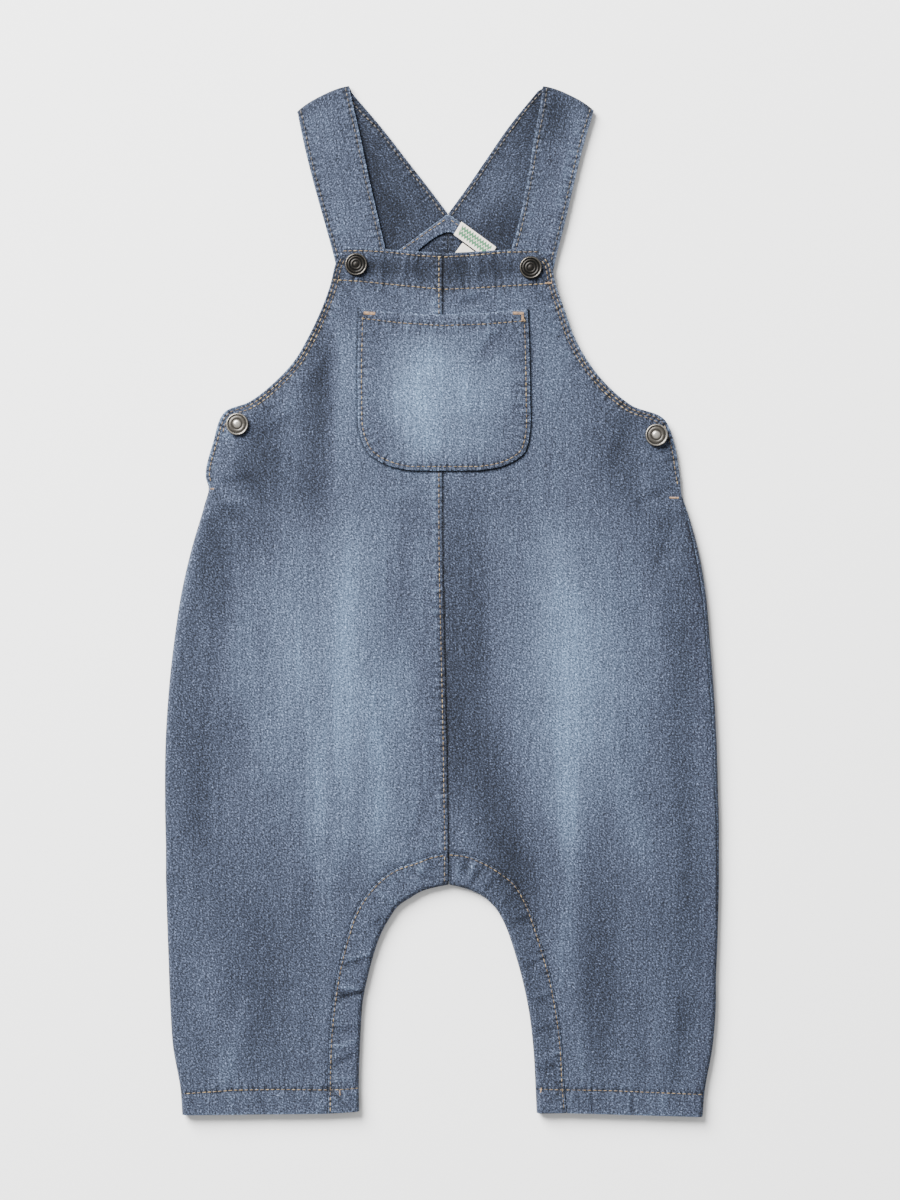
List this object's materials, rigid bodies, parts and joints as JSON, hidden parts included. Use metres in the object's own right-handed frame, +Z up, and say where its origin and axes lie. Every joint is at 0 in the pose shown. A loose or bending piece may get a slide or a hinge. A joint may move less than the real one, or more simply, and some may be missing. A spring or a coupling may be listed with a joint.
{
  "type": "kids dungarees laid flat",
  "caption": "Baby dungarees in faded blue chambray denim, laid flat on their back, with a bib pocket, folded shoulder straps, snap fastenings and an inner-leg band.",
  "frame": {"origin": "the middle of the garment's box, on the surface that it lies on", "axes": "+X to the right as seen from above with the straps up, +Y from the hems to the straps, +Z up off the surface"},
  "size_m": [0.2951, 0.549, 0.008],
  "materials": {
    "chambray": "stone-washed blue chambray denim, salt-and-pepper twill grain, faded on the pocket and thighs",
    "topstitch_thread": "tan cotton topstitching, matt",
    "label_tape": "cream woven tape with a plain green zigzag",
    "gunmetal": "dark antique snap cap, worn bright on its rings",
    "old_silver": "antique silver snap cap, darker in its groove"
  },
  "bodies": {
    "root": {"front_left": "chambray", "front_right": "chambray", "back_left": "chambray", "back_right": "chambray", "inner_leg_band_left": "chambray", "inner_leg_band_right": "chambray", "bib_pocket": "chambray", "strap_left": "chambray", "strap_right": "chambray", "back_neck_facing": "chambray", "neck_label": "label_tape", "neck_tag": "label_tape", "snap_bib_left": "gunmetal", "snap_bib_right": "gunmetal", "snap_side_left": "old_silver", "snap_side_right": "old_silver"}
  },
  "joints": []
}
